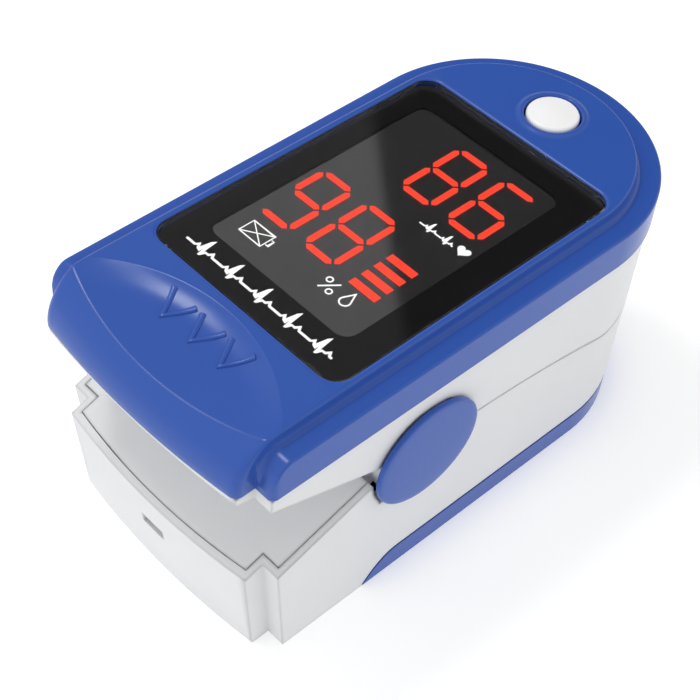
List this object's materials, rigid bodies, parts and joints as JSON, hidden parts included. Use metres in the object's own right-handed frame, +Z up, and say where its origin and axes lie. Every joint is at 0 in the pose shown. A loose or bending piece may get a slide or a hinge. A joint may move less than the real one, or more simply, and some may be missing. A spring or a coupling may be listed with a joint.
{
  "type": "fingertip pulse oximeter",
  "caption": "Spring-clamp fingertip pulse oximeter: blue top with a red digit display and a round button, white halves, silicone finger pads and a sliding battery cover.",
  "frame": {"origin": "under the middle of the body, on the surface it rests on", "axes": "+Z up, +Y towards the round end where the finger goes in, -Y the end that is squeezed, +X to the right seen from the squeezed end"},
  "size_m": [0.032, 0.0624, 0.031],
  "materials": {
    "blue_plastic": "satin moulded blue",
    "white_plastic": "smooth moulded white",
    "button_plastic": "polished white",
    "smoked_lens": "glossy smoked acrylic",
    "black_plastic": "matte black",
    "silicone": "soft matt silicone",
    "clear_window": "clear moulded window",
    "circuit_board": "solder mask green",
    "frame_plastic": "plain moulded",
    "battery_sleeve": "printed sleeve over steel",
    "nickel": "nickel plated spring steel",
    "steel": "bright steel",
    "ribbon": "amber polyimide film",
    "led_package": "moulded emitter package"
  },
  "bodies": {
    "lower_body": {"lower_housing": "white_plastic", "lower_deck": "white_plastic", "battery_frame": "frame_plastic", "lower_finger_pad": "silicone", "detector_window": "clear_window", "photodiode": "black_plastic", "detector_board": "circuit_board", "battery_left": "battery_sleeve", "battery_right": "battery_sleeve", "contact_spring_front": "nickel", "contact_spring_rear": "nickel", "negative_contact": "nickel", "positive_contact": "nickel", "bridge_contact": "nickel", "ribbon_cable": "ribbon", "hinge_pin_left": "steel", "hinge_pin_right": "steel", "hinge_cap_left": "blue_plastic", "hinge_cap_right": "blue_plastic", "torsion_spring_left": "steel", "torsion_spring_right": "steel", "frame_screw_front_left": "steel", "frame_screw_rear_left": "steel", "frame_screw_front_right": "steel", "frame_screw_rear_right": "steel"},
    "upper_body": {"upper_housing": "white_plastic", "top_cover": "blue_plastic", "display_lens": "smoked_lens", "display_module": "black_plastic", "main_board": "circuit_board", "switch_body": "nickel", "upper_finger_pad": "silicone", "emitter_window": "clear_window", "led_emitter": "led_package", "cover_screw_front_left": "steel", "cover_screw_rear_left": "steel", "cover_screw_front_right": "steel", "cover_screw_rear_right": "steel"},
    "button": {"power_button": "button_plastic", "switch_plunger": "black_plastic"},
    "battery_door": {"battery_cover": "blue_plastic"}
  },
  "joints": [
    {"name": "clamp_hinge", "type": "hinge", "parent": "lower_body", "child": "upper_body", "pos_m": [0, -0.00915, 0.0169], "axis": [1, 0, 0], "range_deg": [0, 19], "stiffness_Nm_per_rad": 0.12, "springref_deg": -14.32, "deforming": ["ribbon_cable"]},
    {"name": "power_press", "type": "slide", "parent": "upper_body", "child": "button", "axis": [0, 0, -1], "range_m": [0, 0.0005], "stiffness_N_per_m": 800},
    {"name": "battery_cover_slide", "type": "slide", "parent": "lower_body", "child": "battery_door", "axis": [0, 1, 0], "range_m": [0, 0.046]}
  ]
}
